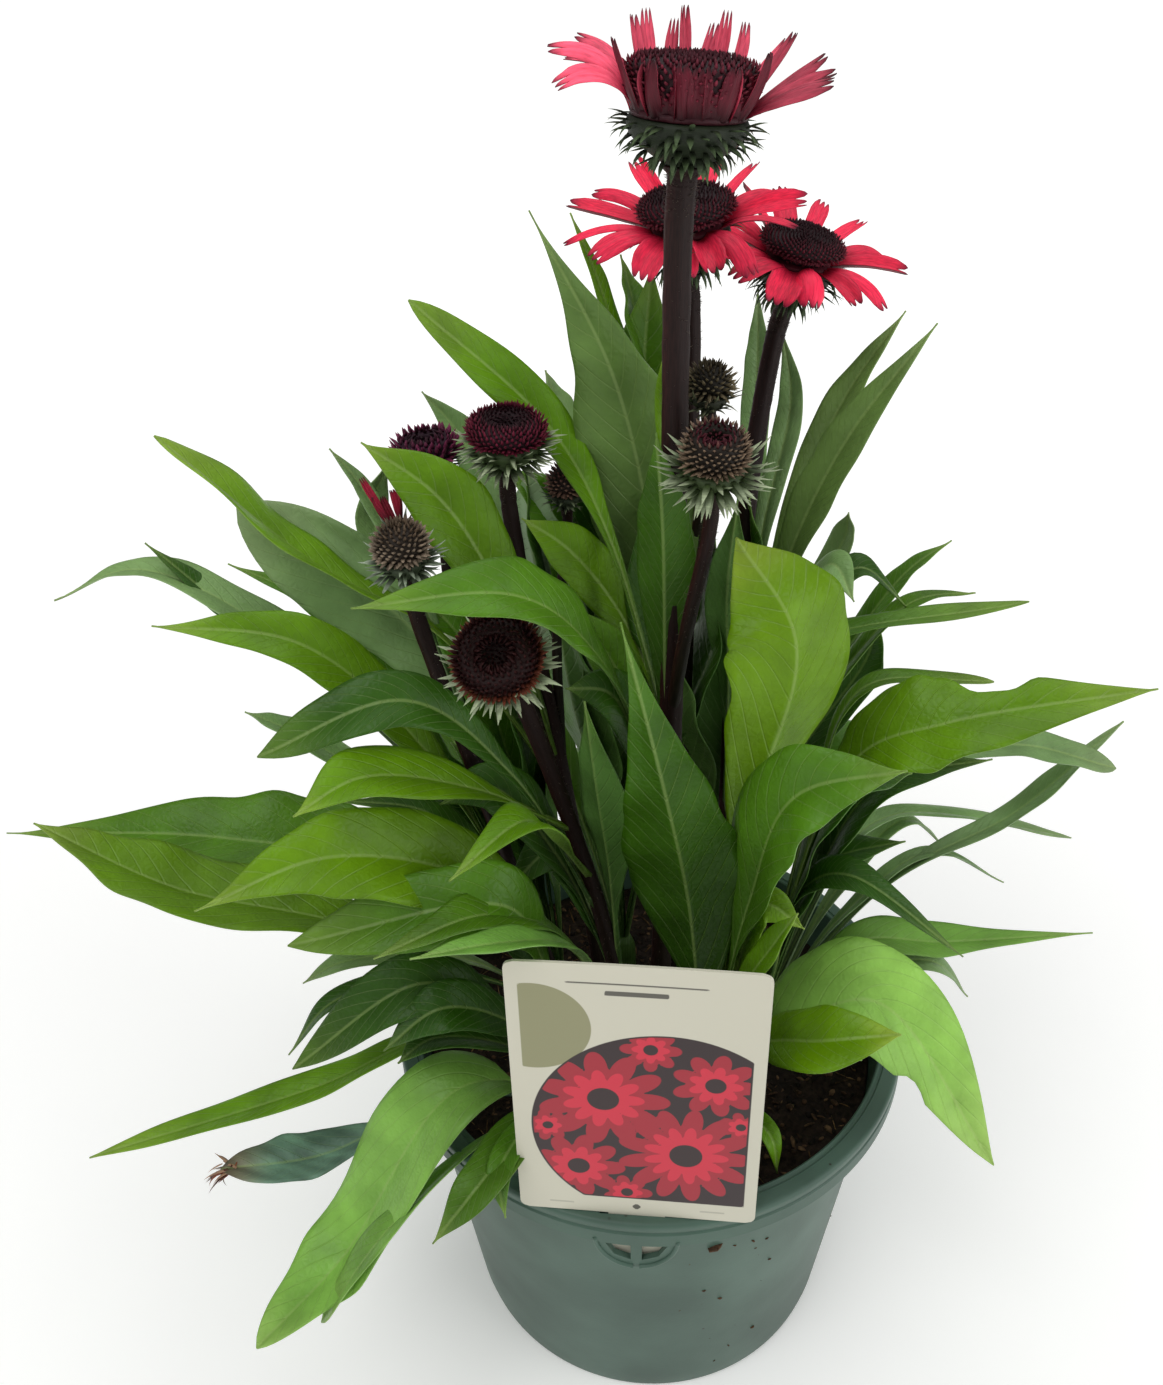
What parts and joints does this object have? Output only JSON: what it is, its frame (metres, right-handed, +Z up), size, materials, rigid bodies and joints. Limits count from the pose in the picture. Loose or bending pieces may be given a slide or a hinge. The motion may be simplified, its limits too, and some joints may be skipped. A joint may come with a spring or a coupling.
{
  "type": "purple coneflower plant",
  "caption": "Coneflower plant in a round nursery pot, with open flowers, spiky buds, lance-shaped leaves on tall stems and a plant label in the pot's rim.",
  "frame": {"origin": "centre of the pot's flat underside", "axes": "+Z up along the pot's axis; -Y is the front, where the plant label stands"},
  "size_m": [0.3953, 0.2758, 0.4702],
  "materials": {
    "pot": "moulded grey-green polypropylene, satin",
    "soil": "moist peat and bark fibre, rough",
    "label": "printed card laminated in thin plastic",
    "leaf": "living leaf, satin, with pale veins",
    "bract": "green bracts with fine hairs",
    "ray": "crimson petal, velvety, darker at the notched tip",
    "floret": "dark maroon chaffy florets",
    "young_floret": "brown unopened florets with pale tips"
  },
  "bodies": {
    "root": {"pot": "pot", "soil": "soil", "label": "label", "stem_flower_1": "leaf", "stem_flower_2": "leaf", "stem_flower_3": "leaf", "stem_bud_3": "leaf", "stem_bud_6": "leaf", "stem_bud_8": "leaf", "leaf_tuft_left": "leaf", "leaf_tuft_front_left": "leaf", "leaf_tuft_front_right": "leaf", "leaf_tuft_right": "leaf", "leaf_tuft_back_right": "leaf", "leaf_tuft_back": "leaf", "flower_1_bracts": "bract", "flower_1_rays": "ray", "flower_1_florets": "floret", "flower_2_bracts": "bract", "flower_2_rays": "ray", "flower_2_florets": "floret", "flower_3_bracts": "bract", "flower_3_rays": "ray", "flower_3_florets": "floret", "bud_1_bracts": "bract", "bud_1_florets": "young_floret", "bud_2_bracts": "bract", "bud_2_florets": "young_floret", "bud_3_bracts": "bract", "bud_3_florets": "floret", "bud_4_bracts": "bract", "bud_4_florets": "floret", "bud_5_bracts": "bract", "bud_5_florets": "young_floret", "bud_6_bracts": "bract", "bud_6_florets": "young_floret", "bud_7_bracts": "bract", "bud_7_rays": "ray", "bud_8_bracts": "bract", "bud_8_florets": "floret"}
  },
  "joints": []
}
